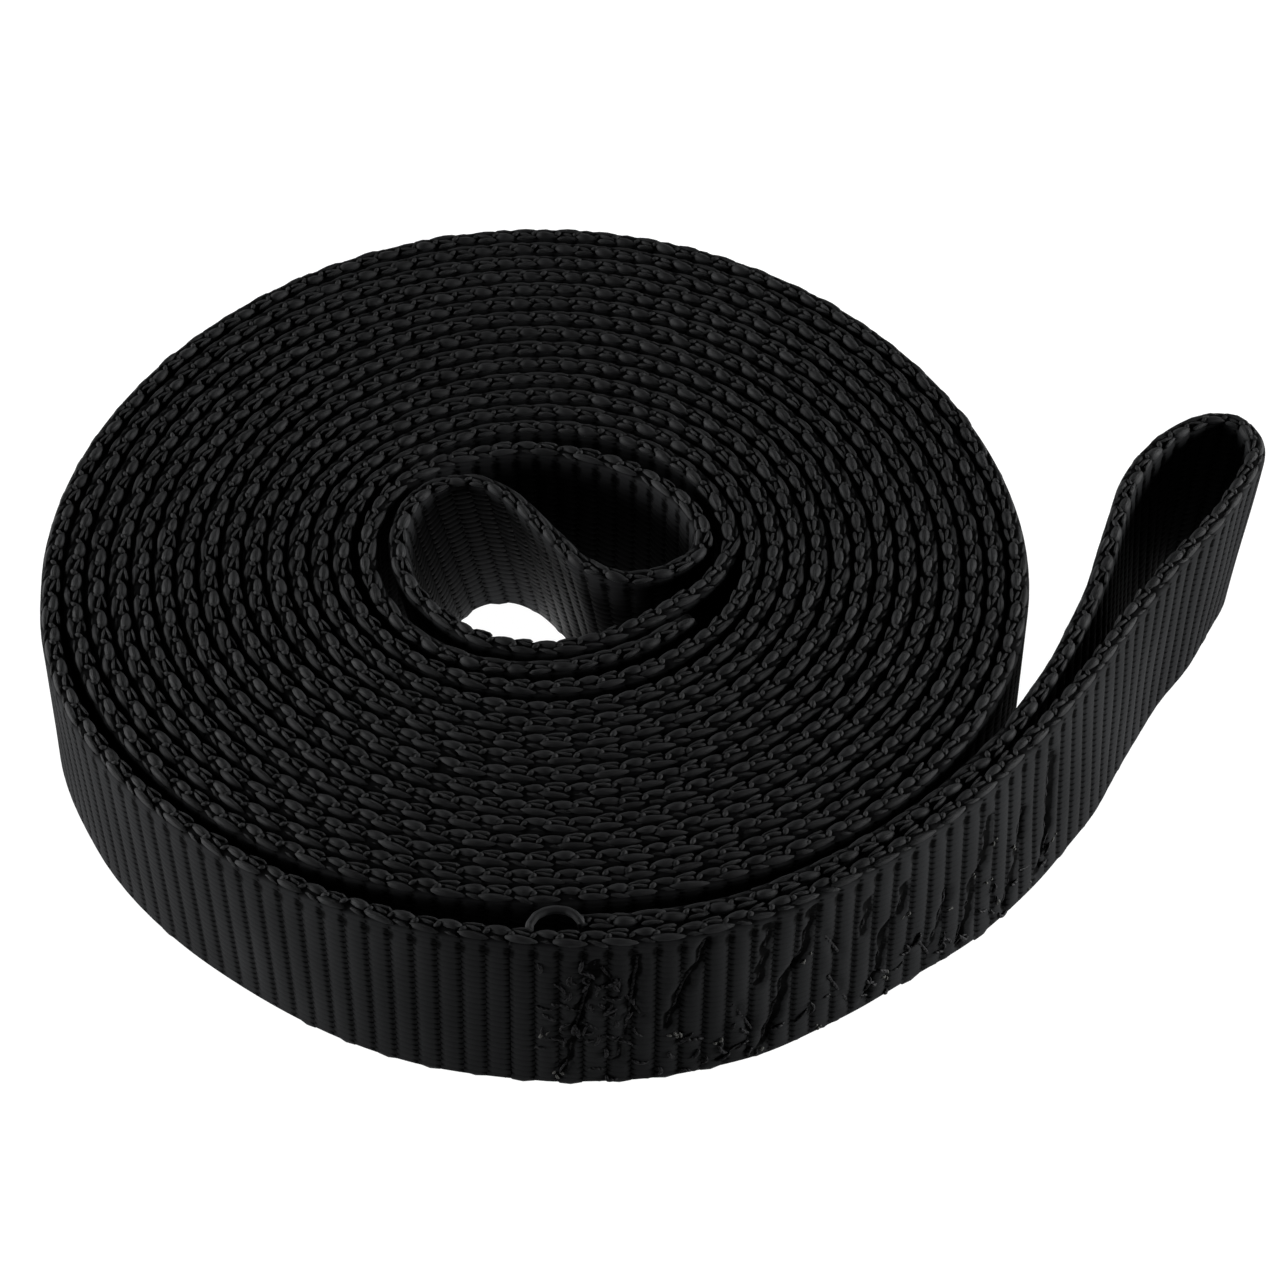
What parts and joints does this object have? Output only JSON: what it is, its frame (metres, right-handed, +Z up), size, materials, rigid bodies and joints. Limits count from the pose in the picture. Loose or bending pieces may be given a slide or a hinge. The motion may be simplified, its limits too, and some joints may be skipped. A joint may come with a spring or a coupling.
{
  "type": "rolled tow strap",
  "caption": "Narrow woven webbing strap rolled flat on its edge, with each end folded back and sewn down as a loop eye, one in the core and one standing off the roll.",
  "frame": {"origin": "middle of the strap's footprint, on the floor under its edge", "axes": "+Z up along the webbing's width, +X from the roll towards the outer eye, +Y away from the sewn seam"},
  "size_m": [0.1484, 0.1231, 0.025],
  "materials": {
    "webbing": "matte woven polyester, with a faint sheen along the ribs",
    "thread": "slightly waxed sewing thread"
  },
  "bodies": {
    "root": {"webbing_strap": "webbing", "outer_eye_stitching": "thread"}
  },
  "joints": []
}
